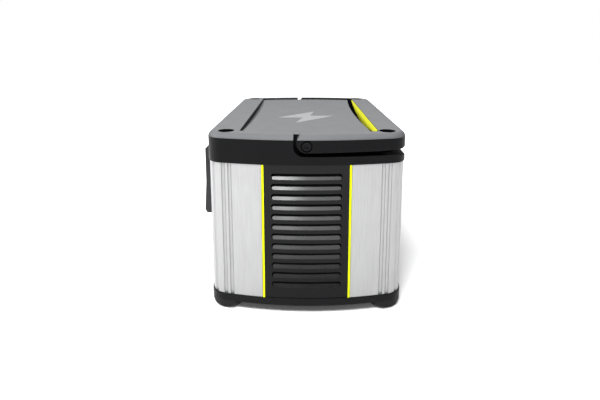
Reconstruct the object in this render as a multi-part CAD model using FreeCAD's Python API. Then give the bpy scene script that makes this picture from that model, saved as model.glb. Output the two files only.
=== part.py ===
"""Portable battery power station: two bowed-end aluminium half shells between a moulded base
tray and a moulded lid, a louvred grille in each end, a folding bail handle on the lid, and a
front panel with the display, buttons and sockets.

The case is drawn about its own centre plane. +X is the right-hand end, -Y the front with the
panel, +Z up. Every piece is then moved so that the origin is under the middle of the whole
object, on the surface it stands on.
"""
import FreeCAD
import Part
import math
import os

V = FreeCAD.Vector
ALONG_X = V(1, 0, 0)
ALONG_Y = V(0, 1, 0)
ALONG_Z = V(0, 0, 1)

# ---- driving dimensions, in millimetres -------------------------------------------------
LENGTH = 287.0            # over the crests of the bowed ends of lid and base
WIDTH = 186.4             # over the long sides of lid and base
HEIGHT = 173.0
BOW_R = 331.0             # plan radius of the ends
CORNER_R = 19.0
PANEL_REACH = 100.6       # front of the port panel from the case's centre plane
CASE_Y = (PANEL_REACH - WIDTH / 2) / 2
FIT_GAP = 0.1             # between mouldings that fit into each other
SEAM = 0.05               # half the gap of a butt joint

# heights of the stacked pieces
FOOT_Z = 8.5              # underside of the base tray
FLOOR_Z = 12.0            # top of the tray's floor, where the shells stand
BASE_RIM_Z = 15.5
LID_Z = 145.5             # lower edge of the lid
SHELL_TOP_Z = 149.0
LEDGE_Z = 153.1           # ledge of the lid under the handle
GRIP_Z = 156.8            # underside of the handle
BEVEL_Z = 168.5
DECK_Z = 171.0            # sunk deck in the middle of the lid

# crowned top edge, from BEVEL_Z up: height, and how far the ends and the sides step in
CROWN = ((171.1, 1.8, 1.1), (172.5, 4.2, 2.6), (HEIGHT, 6.5, 4.2))

# aluminium shells
SHELL_IN = 1.0            # the shells stand this far inside the lid and base
SHELL_T = 2.2
BACKING_T = 1.2           # extra wall behind the flutes
SPLIT_Y = 41.4            # the shells end here, beside the trim strips
FLUTE_R = 2.0
FLUTE_DEPTH = 1.6
FLUTE_YS = (71.0, 77.2)
CORNER_FLUTE_DEG = 44.0
BACKING_X = 100.0         # the extra wall starts here along the sides
BACKING_Y = 66.0          # and here across the ends
SHELL_Z0 = FLOOR_Z + SEAM
SHELL_Z1 = SHELL_TOP_Z - SEAM

# base tray and feet
RIB_TOP_Z = 17.0
RIB_T = 2.0
RIB_HALF = 98.0           # half the length of the locating rib inside the shells
POST_R = 6.0              # bosses round the corner screws
FOOT_R = 17.0
FOOT_EDGE_R = 8.0

# screw columns, one in each corner
COLUMN_X = 120.5
COLUMN_Y = 75.5
COLUMN_R = 5.0
COLUMN_GAP = 5.2          # from either end of the shells to the column
SCREW_R = 1.85
SCREW_HOLE_R = 1.9
CLEAR_HOLE_R = 2.25
HEAD_R = 3.6
HEAD_H = 2.6
LID_SEAT_Z = 150.0        # under the heads of the lid screws
BASE_SEAT_Z = 5.0
ACCESS_R = 6.5            # driver access holes from the top
ACCESS_MOUTH_R = 7.6
ACCESS_MOUTH_T = 4.5

# end grilles and trim
GRILLE_HALF = 38.8
GRILLE_IN = 1.2
GRILLE_T = 2.4
SLOTS = 12
SLOT_PITCH = 9.57
SLOT_TOP_Z = 137.6
SLOT_HALF = 32.6
SLOT_H = 5.9              # mouth of a slot
SLOT_END_RUN = 1.6        # its end walls slope in by this much over the plate's thickness
GAP_H = 2.9               # open gap at its back, above the sloping sill
FILTER_T = 3.0
FILTER_HALF = 36.3
FILTER_ZS = (22.0, 143.0)
TRIM_Y0 = 39.2
TRIM_Y1 = 41.0
TRIM_IN = 0.6
TRIM_T = 3.6

# lid
ROOF_T = 3.0
ROOM_HALF = 108.0         # half the length of the rooms under the lid
STRIP_Y = 62.8            # inner edge of the raised front strip
WAIST_Y = 56.4            # edge of the deck at mid length
WAIST_END_Y = 61.5        # and near the ends
WAIST_END_X = 120.0
SCOOP_HALF = 115.0
SCOOP_Z = 166.0           # below the deepest point of the finger scoop
SCOOP_BANK = 1.6          # run of its sloping bank for each unit of depth
REST_XS = (116.0, 127.0)  # ribs on the ledge that the folded handle rests over
REST_Y = 71.0
REST_Z = 157.2

# handle
ARM_T = 14.0
ARM_GAP = 1.5
GRIP_Y = 67.3             # inner face of the grip bar
UNDERSIDE_RISE = 1.2      # of the folded handle, from its pivots to the back
CHAMFER = 2.8             # slope of grip and ledge towards the finger groove
PIVOT_Z = 162.8
NOTCH_Y = 12.0            # front wall of the notch that the arms turn in
NOTCH_R = 9.3
HEEL_R = 9.0
HEEL_BEVEL_Y = 8.7        # the heel leans back from here at BEVEL_Z
HEEL_TOP_Y = 5.4          # to here at the top
SHOULDER_R = 3.5
BUSH_BORE_R = 3.55
BUSH_R = 4.8
FLANGE_R = 5.5
FLANGE_T = 1.2
FLANGE_SEAT = 3.2         # below the crest of the end
PIVOT_HEAD_R = 4.1
PIVOT_HEAD_T = 1.5
PIVOT_HEAD_IN = 1.9       # underside of the head, below the crest of the end
PIVOT_THREAD_R = 2.5
PIVOT_THREAD_L = 12.0
INSERT_HALF = 113.5
INSERT_T = 3.0
INSERT_PROUD = 0.3
INSERT_TOP_Z = 172.0
INSERT_MID_Z = 159.4      # top of its arched lower edge
INSERT_TIP_H = 1.6        # height left at its two ends
INSERT_GAP = 0.1

# front panel
PANEL_HALF = 108.0
PANEL_FACE = 98.8         # upright face of the display bezel
PANEL_TOP_Z = 158.2
PANEL_SLOPE_Z = 152.5
PANEL_SEAM_Z = 120.0
PANEL_FLARE_Z = 90.4
PANEL_LOW_Z = 87.0
PANEL_BACK = 92.25
PANEL_WALL = 2.6
PANEL_RIM = 3.0           # solid edge round the rooms behind the panel
WINDOW_HALF = 104.0       # opening in the front shell
WINDOW_Z0 = 92.0
WINDOW_Z1 = 143.0
WINDOW_BACK = 84.0        # it is cut from the front back to here
PORT_Z = 105.0
PORT_FACE = 100.4
UPPER_Z = 133.0           # centre line of display and buttons
DISPLAY_HALF = 33.4
DISPLAY_HALF_H = 9.4
DISPLAY_EDGE = 2.0        # of the window, glued to the bezel
DISPLAY_T = 1.5
MODULE_IN = 3.0           # the display module is this much smaller than the window
BUTTONS = {"button_12v": (-64.0, 6.0), "button_usb": (-46.0, 6.0),
           "button_light": (46.0, 4.5), "button_ac": (66.0, 6.0)}   # x and radius
BUTTON_CLEAR = 0.3
BUTTON_PROUD = 1.0
BUTTON_BACK = 95.1
BUTTON_FLANGE = 1.2
SWITCH_HALF = 3.0
SWITCH_FRONT = 94.2
BOARD_FRONT = 89.5        # front of the control board

# sockets in the port panel
USB_A_XS = (-27.0, -9.0)
USB_C_XS = (9.0, 27.0)
USB_FRONT = 99.0
USB_BOARD_FRONT = 81.9
CAR_X = -57.0
CAR_R = 10.5
CAR_WALL = 2.0
CAR_DEPTH = 40.0
CAR_FLANGE_R = 14.5
CAR_FLANGE_T = 2.2
DC_X = -80.0
DC_ZS = (98.5, 111.5)
DC_R = 5.5
CHARGE_X = -96.0
CHARGE_R = 6.8
OUTLET_XS = {"ac_outlet_left": 52.0, "ac_outlet_right": 86.0}
OUTLET_HALF_W = 15.5
OUTLET_HALF_H = 13.0
OUTLET_CORNER_R = 4.0
OUTLET_DEPTH = 22.0
BLADE_X = 6.4             # blade slots from the outlet's centre
BLADE_DEPTH = 17.0

# battery
CELL_R = 9.15
CELL_L = 65.0
CELL_Z = 19.0
CELL_PITCH = 19.8
CELL_COLS = 10
CELL_ROWS = 4
PACK_Y = 42.0
HOLDER_H = 6.0
BUSBAR_T = 0.5
BMS_BACK = 0.4            # back of the battery management board, from the centre plane
LEAD_R = 2.5
LEAD_BEND_R = 9.0
LEAD_XS = (20.0, 32.0)
LEAD_ZS = (62.0, 110.0)
LEAD_OUT_Y = -52.0

# electronics
SHELF_Z = 92.0
SHELF_T = 2.0
BOARD_Z = 100.0
BOARD_T = 1.6
PART_Z = BOARD_Z + BOARD_T + FIT_GAP      # underside of what stands on the inverter board
BOARD_HALF = 98.0
STANDOFF_XS = (-90.0, 0.0, 90.0)
STANDOFF_YS = (-28.0, 74.0)
CHARGE_BOARD_Z = 20.1
CHARGE_PARTS = ((-38, -58, 24, 24, 16.4), (-1, -53, 18, 26, 11.4),
                (36, -64, 24, 16, 8.4))   # x, y, length, width, height
BOARD_PAD_XS = (-52.0, 52.0)
BOARD_PAD_YS = (-76.0, -26.0)
CAPACITOR_XS = (-80.0, -58.0, -36.0, -14.0)
CAPACITOR_Y = -16.0
INDUCTOR_XS = (52.0, 82.0)
INDUCTOR_Y = -12.0

# fan
FAN_X = -124.0
FAN_T = 15.0
FAN_Z = 112.0
FAN_HALF = 30.0
FAN_SCREW = 25.0          # fan screws from its axis
FAN_BORE_R = 28.3
FAN_PLATE_T = 2.5
ROTOR_R = 27.4
ROTOR_T = 10.0
ROTOR_IN = 1.25
HUB_R = 12.0
SHAFT_R = 1.5
BLADES = 7
BLADE_PITCH_DEG = 50.0

EXTRA = 40.0              # how far a cutter runs past what it cuts
CORNERS = ((1, -1), (-1, -1), (1, 1), (-1, 1))
DIAGONAL = math.sqrt(0.5)


# ---- small helpers ----------------------------------------------------------------------
def box(x0, x1, y0, y1, z0, z1):
    """Axis-aligned block between two corners."""
    return Part.makeBox(x1 - x0, y1 - y0, z1 - z0, V(x0, y0, z0))


def block_at(x, y, length, width, z0, z1):
    """Upright block centred on a point in plan."""
    return box(x - length / 2, x + length / 2, y - width / 2, y + width / 2, z0, z1)


def facing_block(x, z, half_w, half_h, front, back):
    """Block centred on a point of the front panel, from y = -front in to y = -back."""
    return box(x - half_w, x + half_w, -front, -back, z - half_h, z + half_h)


def cylinder(radius, length, start, direction):
    """Round bar from its start point."""
    return Part.makeCylinder(radius, length, start, direction)


def tube(outer, inner, length, start, direction):
    """Round bar with a bore right through it."""
    return cylinder(outer, length, start, direction).cut(cylinder(inner, length, start, direction))


def hex_bar(radius, length, start, direction):
    """Hexagonal bar, for drive sockets."""
    turn = FreeCAD.Rotation(ALONG_Z, direction)
    points = []
    for i in range(7):
        angle = i * math.pi / 3
        local = V(radius * math.cos(angle), radius * math.sin(angle), 0)
        points.append(start + turn.multVec(local))
    return Part.Face(Part.makePolygon(points)).extrude(direction * length)


def join(shapes):
    """One solid from pieces that touch or overlap."""
    shapes = list(shapes)
    return shapes[0].fuse(shapes[1:]).removeSplitter()


def arc(start, middle, end):
    """Edge along the circle through three points."""
    return Part.Arc(start, middle, end).toShape()


def prism_along_x(edges, x0, x1):
    """Closed profile in the plane X = 0, carried from x0 to x1."""
    face = Part.Face(Part.Wire(edges))
    face.translate(V(x0, 0, 0))
    return face.extrude(V(x1 - x0, 0, 0))


def polygon_along_x(points, x0, x1):
    """Prism along X of a polygon given as (y, z) points."""
    corners = [V(0, y, z) for y, z in points]
    closed = corners + [corners[0]]
    edges = [Part.makeLine(a, b) for a, b in zip(closed, closed[1:])]
    return prism_along_x(edges, x0, x1)


def stadium_wire(x, half_y, height, z):
    """Slot outline with round ends in the plane at x, centred at height z."""
    radius = height / 2
    flat = half_y - radius
    return Part.Wire([
        Part.makeLine(V(x, -flat, z - radius), V(x, flat, z - radius)),
        arc(V(x, flat, z - radius), V(x, half_y, z), V(x, flat, z + radius)),
        Part.makeLine(V(x, flat, z + radius), V(x, -flat, z + radius)),
        arc(V(x, -flat, z + radius), V(x, -half_y, z), V(x, -flat, z - radius)),
    ])


def rounded_block(x, z, half_w, half_h, front, back, radius):
    """Block on the front panel whose four edges along Y are rounded."""
    block = facing_block(x, z, half_w, half_h, front, back)
    edges = [e for e in block.Edges if abs(e.tangentAt(e.FirstParameter).y) > 0.9]
    return block.makeFillet(radius, edges)


def save(name, shape):
    """Move a finished piece into the object's frame and write it."""
    placed = shape.copy()
    placed.translate(V(0, CASE_Y, 0))
    if not placed.isValid():
        raise ValueError("not a valid shape: " + name)
    placed.exportStep("parts/" + name + ".step")


# ---- the plan outline shared by base, shells and lid --------------------------------------
def case_wire(z, end=0.0, side=0.0, corner=0.0):
    """Case outline at height z, with its ends, sides and corner radius grown or shrunk."""
    half_l = LENGTH / 2 + end
    half_w = WIDTH / 2 + side
    bow_r = BOW_R + end
    corner_r = CORNER_R + corner
    bow_x = half_l - bow_r
    corner_y = half_w - corner_r
    corner_x = bow_x + math.sqrt((bow_r - corner_r) ** 2 - corner_y ** 2)
    bow_angle = math.atan2(corner_y, corner_x - bow_x)
    mid_angle = (bow_angle + math.pi / 2) / 2
    crest = (half_l, 0.0)
    bow_end = (bow_x + bow_r * math.cos(bow_angle), bow_r * math.sin(bow_angle))
    mid = (corner_x + corner_r * math.cos(mid_angle), corner_y + corner_r * math.sin(mid_angle))
    side_end = (corner_x, half_w)

    def at(point, sx, sy):
        return V(point[0] * sx, point[1] * sy, z)

    return Part.Wire([
        arc(at(bow_end, 1, -1), at(crest, 1, 1), at(bow_end, 1, 1)),
        arc(at(bow_end, 1, 1), at(mid, 1, 1), at(side_end, 1, 1)),
        Part.makeLine(at(side_end, 1, 1), at(side_end, -1, 1)),
        arc(at(side_end, -1, 1), at(mid, -1, 1), at(bow_end, -1, 1)),
        arc(at(bow_end, -1, 1), at(crest, -1, 1), at(bow_end, -1, -1)),
        arc(at(bow_end, -1, -1), at(mid, -1, -1), at(side_end, -1, -1)),
        Part.makeLine(at(side_end, -1, -1), at(side_end, 1, -1)),
        arc(at(side_end, 1, -1), at(mid, 1, -1), at(bow_end, 1, -1)),
    ])


def slab(grow, z0, z1):
    """Upright block with the case outline, grown evenly."""
    return Part.Face(case_wire(z0, grow, grow, grow)).extrude(V(0, 0, z1 - z0))


def ring(outer, inner, z0, z1):
    """Wall between two outlines."""
    return slab(outer, z0, z1).cut(slab(inner, z0, z1))


def taper(lower, upper):
    """Solid between two outlines of different height."""
    return Part.makeLoft([lower, upper], True, True)


def cap_block(z0):
    """Lid envelope from z0 up, with the crowned top edge."""
    slices = [slab(0, z0, BEVEL_Z)]
    lower = case_wire(BEVEL_Z)
    for z, end_in, side_in in CROWN:
        upper = case_wire(z, -end_in, -side_in, -side_in)
        slices.append(taper(lower, upper))
        lower = upper
    return join(slices)


def end_band(side, y0, y1, outer, inner, z0, z1):
    """Part of the case wall across one end: side is 1 for +X and -1 for -X."""
    low, high = (0, LENGTH) if side > 0 else (-LENGTH, 0)
    return ring(outer, inner, z0, z1).common(box(low, high, y0, y1, z0, z1))


def columns(only_y=None):
    """Positions of the four corner screw columns, or of the two on one side."""
    return [(COLUMN_X * sx, COLUMN_Y * sy) for sx, sy in CORNERS if only_y in (None, sy)]


def bow_axis_x():
    """Distance from the centre to the axis that the right-hand end is bowed about."""
    return LENGTH / 2 - BOW_R


def corner_centre():
    """Plan position of the axis that the +X +Y corner is rounded about."""
    y = WIDTH / 2 - CORNER_R
    return bow_axis_x() + math.sqrt((BOW_R - CORNER_R) ** 2 - y ** 2), y


# ---- base -------------------------------------------------------------------------------
def make_base_tray():
    """Tray with a rim round the shells, a locating rib inside them, and bosses and pads."""
    rim_h = 0.8
    rim_edge = 0.5
    root_z = FLOOR_Z - 0.5
    pad_half = 96.0
    rib_in = SHELL_IN + SHELL_T + 0.2
    body = join([
        slab(0, FOOT_Z, BASE_RIM_Z - rim_h),
        taper(case_wire(BASE_RIM_Z - rim_h),
              case_wire(BASE_RIM_Z, -rim_edge, -rim_edge, -rim_edge)),
    ])
    body = body.cut(slab(-SHELL_IN + FIT_GAP, FLOOR_Z, BASE_RIM_Z + 1))
    rib = ring(-rib_in, -rib_in - RIB_T, root_z, RIB_TOP_Z)
    rib = rib.common(box(-RIB_HALF, RIB_HALF, -WIDTH, WIDTH, 0, RIB_TOP_Z))
    posts = [cylinder(POST_R, RIB_TOP_Z - root_z, V(x, y, root_z), ALONG_Z)
             for x, y in columns()]
    pads = [block_at(0, PACK_Y + offset, 2 * pad_half, 4, root_z, CELL_Z - 0.4)
            for offset in (-30, 0, 30)]
    board_pads = [cylinder(3.5, CHARGE_BOARD_Z - root_z - FIT_GAP, V(x, y, root_z), ALONG_Z)
                  for x in BOARD_PAD_XS for y in BOARD_PAD_YS]
    body = join([body] + rib.Solids + posts + pads + board_pads)
    return body.cut([cylinder(CLEAR_HOLE_R, EXTRA, V(x, y, 0), ALONG_Z) for x, y in columns()])


def make_foot(x, y):
    """Domed rubber foot, flush with the corner of the case, with a well for its screw."""
    puck = cylinder(FOOT_R, FOOT_Z, V(x, y, 0), ALONG_Z)
    rim = [e for e in puck.Edges if e.BoundBox.ZMax < 0.1 and e.Length > FOOT_R]
    puck = puck.makeFillet(FOOT_EDGE_R, rim).common(slab(-FIT_GAP, -1, FOOT_Z))
    head_well = cylinder(HEAD_R + 0.9, BASE_SEAT_Z, V(x, y, 0), ALONG_Z)
    return puck.cut(head_well).cut(cylinder(CLEAR_HOLE_R, FOOT_Z, V(x, y, 0), ALONG_Z))


def pan_head_screw(x, y, z, shank, up):
    """Screw whose head bears at z; up is 1 when the shank points up."""
    head = cylinder(HEAD_R, HEAD_H, V(x, y, z), V(0, 0, -up))
    drive = hex_bar(1.5, 1.4, V(x, y, z - up * HEAD_H), V(0, 0, up))
    return join([head, cylinder(SCREW_R, shank, V(x, y, z), V(0, 0, up))]).cut(drive)


# ---- aluminium shells ---------------------------------------------------------------------
def flute_axes():
    """Plan positions of the extruded flutes near the +X +Y corner."""
    outer_r = BOW_R - SHELL_IN
    sunk = FLUTE_R - FLUTE_DEPTH
    centres = []
    for y in FLUTE_YS:
        angle = math.asin(y / outer_r)
        reach = outer_r + sunk
        centres.append((bow_axis_x() + reach * math.cos(angle), reach * math.sin(angle)))
    corner_x, corner_y = corner_centre()
    angle = math.radians(CORNER_FLUTE_DEG)
    reach = CORNER_R - SHELL_IN + sunk
    centres.append((corner_x + reach * math.cos(angle), corner_y + reach * math.sin(angle)))
    return centres


def column_and_web(x, y):
    """Screw column inside a shell's corner, with the web that ties it to the end wall."""
    start_z = FLOOR_Z + COLUMN_GAP
    length = SHELL_TOP_Z - FLOOR_Z - 2 * COLUMN_GAP
    web_l = 12.0
    web_x = x + math.copysign(web_l / 2, x)
    return [cylinder(COLUMN_R, length, V(x, y, start_z), ALONG_Z),
            block_at(web_x, y, web_l, 3, start_z, start_z + length)]


def make_shell(sign):
    """Half shell on the side sign of Y: a long side, two corners and part of each end."""
    outer = -SHELL_IN
    inner = outer - SHELL_T
    low, high = (SPLIT_Y, WIDTH) if sign > 0 else (-WIDTH, -SPLIT_Y)
    half = box(-LENGTH, LENGTH, low, high, SHELL_Z0, SHELL_Z1)
    wall = ring(outer, inner, SHELL_Z0, SHELL_Z1).common(half)
    backing = ring(inner + 0.01, inner - BACKING_T, SHELL_Z0, SHELL_Z1)
    zone_y = (BACKING_Y, WIDTH) if sign > 0 else (-WIDTH, -BACKING_Y)
    for side in (1, -1):
        zone_x = (BACKING_X, LENGTH) if side > 0 else (-LENGTH, -BACKING_X)
        wall = wall.fuse(backing.common(box(*zone_x, *zone_y, SHELL_Z0, SHELL_Z1)))
    for x, y in columns(sign):
        wall = wall.fuse(column_and_web(x, y))
    flutes = [cylinder(FLUTE_R, SHELL_Z1 - SHELL_Z0 + 2, V(x * side, y * sign, SHELL_Z0 - 1),
                       ALONG_Z)
              for x, y in flute_axes() for side in (1, -1)]
    wall = wall.common(slab(outer, SHELL_Z0, SHELL_Z1)).cut(flutes).removeSplitter()
    wall = wall.cut([cylinder(SCREW_HOLE_R, HEIGHT, V(x, y, 0), ALONG_Z)
                     for x, y in columns(sign)])
    if sign < 0:
        wall = wall.cut(box(-WINDOW_HALF, WINDOW_HALF, -WIDTH, -WINDOW_BACK,
                            WINDOW_Z0, WINDOW_Z1))
    return wall.removeSplitter()


# ---- end grilles and trim -------------------------------------------------------------------
def louvre_cutter(top_z):
    """One slot of the right-hand grille: a level gap above a sill that slopes outwards."""
    face_x = LENGTH / 2 - GRILLE_IN
    back_x = face_x - GRILLE_T
    low_z = top_z - SLOT_H
    margin = 1.0
    slope = (SLOT_H - GAP_H) / GRILLE_T
    points = [V(face_x + margin, 0, top_z), V(back_x - margin, 0, top_z),
              V(back_x - margin, 0, top_z - GAP_H), V(back_x, 0, top_z - GAP_H),
              V(face_x + margin, 0, low_z - slope * margin)]
    face = Part.Face(Part.makePolygon(points + [points[0]]))
    half_turn = math.degrees((SLOT_HALF + 2) / BOW_R)
    axis_point = V(bow_axis_x(), 0, 0)
    face.rotate(axis_point, ALONG_Z, -half_turn)
    louvre = face.revolve(axis_point, ALONG_Z, 2 * half_turn)
    end_x = face_x - SLOT_HALF ** 2 / (2 * BOW_R)
    widening = SLOT_END_RUN / GRILLE_T
    outlines = [stadium_wire(x, SLOT_HALF + (x - end_x) * widening, SLOT_H, top_z - SLOT_H / 2)
                for x in (end_x - 2 * GRILLE_T, face_x + margin)]
    return louvre.common(Part.makeLoft(outlines, True, True))


def make_end_grille(side):
    """Bowed plate with a column of louvred slots."""
    plate = end_band(1, -GRILLE_HALF, GRILLE_HALF, -GRILLE_IN, -GRILLE_IN - GRILLE_T,
                     SHELL_Z0, SHELL_Z1)
    for i in range(SLOTS):
        plate = plate.cut(louvre_cutter(SLOT_TOP_Z - i * SLOT_PITCH))
    return plate if side > 0 else plate.mirror(V(0, 0, 0), ALONG_X)


def make_dust_filter(side):
    """Foam sheet behind a grille."""
    front = -GRILLE_IN - GRILLE_T - FIT_GAP
    return end_band(side, -FILTER_HALF, FILTER_HALF, front, front - FILTER_T, *FILTER_ZS)


def make_trim_strip(side, sign):
    """Coloured strip between a grille and a shell."""
    y0, y1 = (TRIM_Y0, TRIM_Y1) if sign > 0 else (-TRIM_Y1, -TRIM_Y0)
    return end_band(side, y0, y1, -TRIM_IN, -TRIM_IN - TRIM_T, BASE_RIM_Z + SEAM, LID_Z - SEAM)


# ---- lid --------------------------------------------------------------------------------
def waist_radius():
    """Plan radius of the waisted long edges of the deck."""
    rise = WAIST_END_Y - WAIST_Y
    return (WAIST_END_X ** 2 + rise ** 2) / (2 * rise)


def beyond_waist(z0, z1):
    """Everything beyond the rear edge of the deck, as part of a very large cylinder."""
    radius = waist_radius()
    return cylinder(radius, z1 - z0, V(0, WAIST_Y + radius, z0), ALONG_Z)


def scoop_cutter():
    """Finger scoop beside the front strip: a bank that slopes down from the deck's front edge
    to the strip's wall, as part of a very large cone."""
    radius = waist_radius()
    top_z = HEIGHT + 1
    low_r = radius - (DECK_Z - SCOOP_Z) * SCOOP_BANK
    high_r = radius + (top_z - DECK_Z) * SCOOP_BANK
    cone = Part.makeCone(low_r, high_r, top_z - SCOOP_Z, V(0, -WAIST_Y - radius, SCOOP_Z), ALONG_Z)
    return cone.common(box(-SCOOP_HALF, SCOOP_HALF, -STRIP_Y, 0, 0, top_z))


def handle_space():
    """Room cut out of the lid for the folded handle and for its swing."""
    top = HEIGHT + EXTRA
    arc_y = -NOTCH_Y + NOTCH_R
    arc_z = LEDGE_Z + NOTCH_R
    slant = NOTCH_R * DIAGONAL
    edges = [
        Part.makeLine(V(0, -NOTCH_Y, top), V(0, -NOTCH_Y, arc_z)),
        arc(V(0, -NOTCH_Y, arc_z), V(0, arc_y - slant, arc_z - slant), V(0, arc_y, LEDGE_Z)),
        Part.makeLine(V(0, arc_y, LEDGE_Z), V(0, WIDTH, LEDGE_Z)),
        Part.makeLine(V(0, WIDTH, LEDGE_Z), V(0, WIDTH, top)),
        Part.makeLine(V(0, WIDTH, top), V(0, -NOTCH_Y, top)),
    ]
    swept = prism_along_x(edges, -LENGTH, LENGTH)
    deck = slab(-ARM_T - ARM_GAP, LEDGE_Z - 1, top).cut(beyond_waist(LEDGE_Z - 2, top + 1))
    return swept.cut(deck)


def side_slope(z0, z1, low_side, high_side):
    """Cutter that slopes the back face: its inner face leans from low_side at z0 to high_side
    at z1, and passes outside the ends."""
    clear = 1.0
    kept = taper(case_wire(z0, clear, low_side, -1.0), case_wire(z1, clear, high_side, -1.0))
    behind = box(-LENGTH, LENGTH, SPLIT_Y, WIDTH, z0, z1)
    return slab(4 * clear, z0, z1).cut(kept).common(behind)


def lid_hollow():
    """Space under the lid: the shells' rebate, and the rooms between the walls."""
    start_z = SHELL_TOP_Z - 1
    front, strip_back, scoop_back, back = -88.0, -66.0, -53.0, 52.0

    def room(y0, y1, roof_z):
        return box(-ROOM_HALF, ROOM_HALF, y0, y1, start_z, roof_z - ROOF_T)

    rebate = slab(-SHELL_IN + FIT_GAP, LID_Z - 1, SHELL_TOP_Z)
    inside_shells = slab(-SHELL_IN - SHELL_T - 1, start_z, LEDGE_Z - ROOF_T)
    low = inside_shells.common(room(front, -front, HEIGHT))
    return [rebate, low, room(front, strip_back, HEIGHT), room(front, back, SCOOP_Z),
            room(scoop_back, back, DECK_Z)]


def access_hole(x, y, z0):
    """Driver access from the top down to z0, with a wider mouth."""
    mouth = cylinder(ACCESS_MOUTH_R, ACCESS_MOUTH_T + 1, V(x, y, HEIGHT - ACCESS_MOUTH_T), ALONG_Z)
    return cylinder(ACCESS_R, HEIGHT - z0 + 1, V(x, y, z0), ALONG_Z).fuse(mouth)


def make_lid():
    """Moulded lid: rim round the shells, sunk deck, scoop, screw wells and handle space."""
    body = cap_block(LID_Z).cut(handle_space())
    body = body.cut(side_slope(LEDGE_Z - CHAMFER - 1, LEDGE_Z + 1, 1.0, -CHAMFER - 1))
    deck = slab(-ARM_T - ARM_GAP, DECK_Z, HEIGHT + 1)
    body = body.cut(deck.common(box(-LENGTH, LENGTH, -STRIP_Y, WIDTH, 0, HEIGHT + 1)))
    body = body.cut(scoop_cutter()).cut(lid_hollow())
    post_z = LID_SEAT_Z - 4
    posts = [cylinder(POST_R, 3.6, V(x, y, post_z), ALONG_Z) for x, y in columns()]
    near, far = REST_XS
    rests = [box(x, x + far - near, WAIST_Y, REST_Y, LEDGE_Z - 1, REST_Z)
             for x in (near, -far)]
    body = join([body] + posts + rests)
    cuts = []
    for x, y in columns():
        cuts.append(cylinder(CLEAR_HOLE_R, EXTRA, V(x, y, LID_Z - 5), ALONG_Z))
        cuts.append(cylinder(HEAD_R + 0.6, EXTRA, V(x, y, LID_SEAT_Z), ALONG_Z))
    for x, y in columns(-1):
        cuts.append(access_hole(x, y, LEDGE_Z))
    wall_x = LENGTH / 2 - ARM_T - ARM_GAP
    for side in (1, -1):
        start = V(side * (wall_x + 1), 0, PIVOT_Z)
        cuts.append(cylinder(PIVOT_THREAD_R + SEAM, PIVOT_THREAD_L + 4, start, V(-side, 0, 0)))
    return body.cut(cuts).removeSplitter()


# ---- handle -----------------------------------------------------------------------------
def handle_profile():
    """Side profile of the arms, with the rounded heel beside the pivot."""
    heel_z = GRIP_Z + HEEL_R
    slant = HEEL_R * DIAGONAL
    far = WIDTH / 2
    points = [V(0, -HEEL_TOP_Y, HEIGHT), V(0, -HEEL_BEVEL_Y, BEVEL_Z), V(0, -HEEL_R, heel_z),
              V(0, 0, GRIP_Z), V(0, far, GRIP_Z + UNDERSIDE_RISE), V(0, far, HEIGHT)]
    edges = [
        Part.makeLine(points[0], points[1]),
        Part.makeLine(points[1], points[2]),
        arc(points[2], V(0, -slant, heel_z - slant), points[3]),
        Part.makeLine(points[3], points[4]),
        Part.makeLine(points[4], points[5]),
        Part.makeLine(points[5], points[0]),
    ]
    return prism_along_x(edges, -LENGTH, LENGTH)


def insert_shape(grow):
    """Inlay on the grip's inner face: straight top, arched lower edge."""
    top = INSERT_TOP_Z + grow
    half = INSERT_HALF + grow
    tip_z = INSERT_TOP_Z - INSERT_TIP_H - grow
    edges = [
        Part.makeLine(V(-half, 0, tip_z), V(-half, 0, top)),
        Part.makeLine(V(-half, 0, top), V(half, 0, top)),
        Part.makeLine(V(half, 0, top), V(half, 0, tip_z)),
        arc(V(half, 0, tip_z), V(0, 0, INSERT_MID_Z - grow), V(-half, 0, tip_z)),
    ]
    face = Part.Face(Part.Wire(edges))
    face.translate(V(0, GRIP_Y - INSERT_PROUD, 0))
    return face.extrude(V(0, INSERT_T + grow, 0))


def make_handle():
    """Flat bail: the back strip of the lid's top, with an arm across each end."""
    full = cap_block(GRIP_Z).common(handle_profile())
    wedge = side_slope(GRIP_Z - 1, GRIP_Z + CHAMFER + 1, -CHAMFER - 1, 1.0)
    inner = slab(-ARM_T, GRIP_Z - 1, HEIGHT + 1)
    inner = inner.common(box(-LENGTH, LENGTH, -WIDTH, GRIP_Y, 0, HEIGHT + 1))
    body = full.cut(wedge).cut(inner).cut(insert_shape(INSERT_GAP))
    cuts = [access_hole(x, y, GRIP_Z - 1) for x, y in columns(1)]
    start_x = LENGTH / 2 + 1
    for side in (1, -1):
        start = V(side * start_x, 0, PIVOT_Z)
        inward = V(-side, 0, 0)
        cuts.append(cylinder(BUSH_R, EXTRA, start, inward))
        cuts.append(cylinder(FLANGE_R, FLANGE_SEAT + 1, start, inward))
    return body.cut(cuts).removeSplitter()


def make_pivot_bush(side):
    """Flanged bush pressed into an arm, turning on the pivot screw."""
    inward = V(-side, 0, 0)
    seat = LENGTH / 2 - FLANGE_SEAT
    sleeve_l = ARM_T - FLANGE_SEAT + ARM_GAP - 0.4
    flange = cylinder(FLANGE_R, FLANGE_T, V(side * (seat + FLANGE_T), 0, PIVOT_Z), inward)
    sleeve = cylinder(BUSH_R, sleeve_l, V(side * seat, 0, PIVOT_Z), inward)
    bore = cylinder(BUSH_BORE_R, EXTRA, V(side * (LENGTH / 2 + 1), 0, PIVOT_Z), inward)
    return join([flange, sleeve]).cut(bore)


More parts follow.
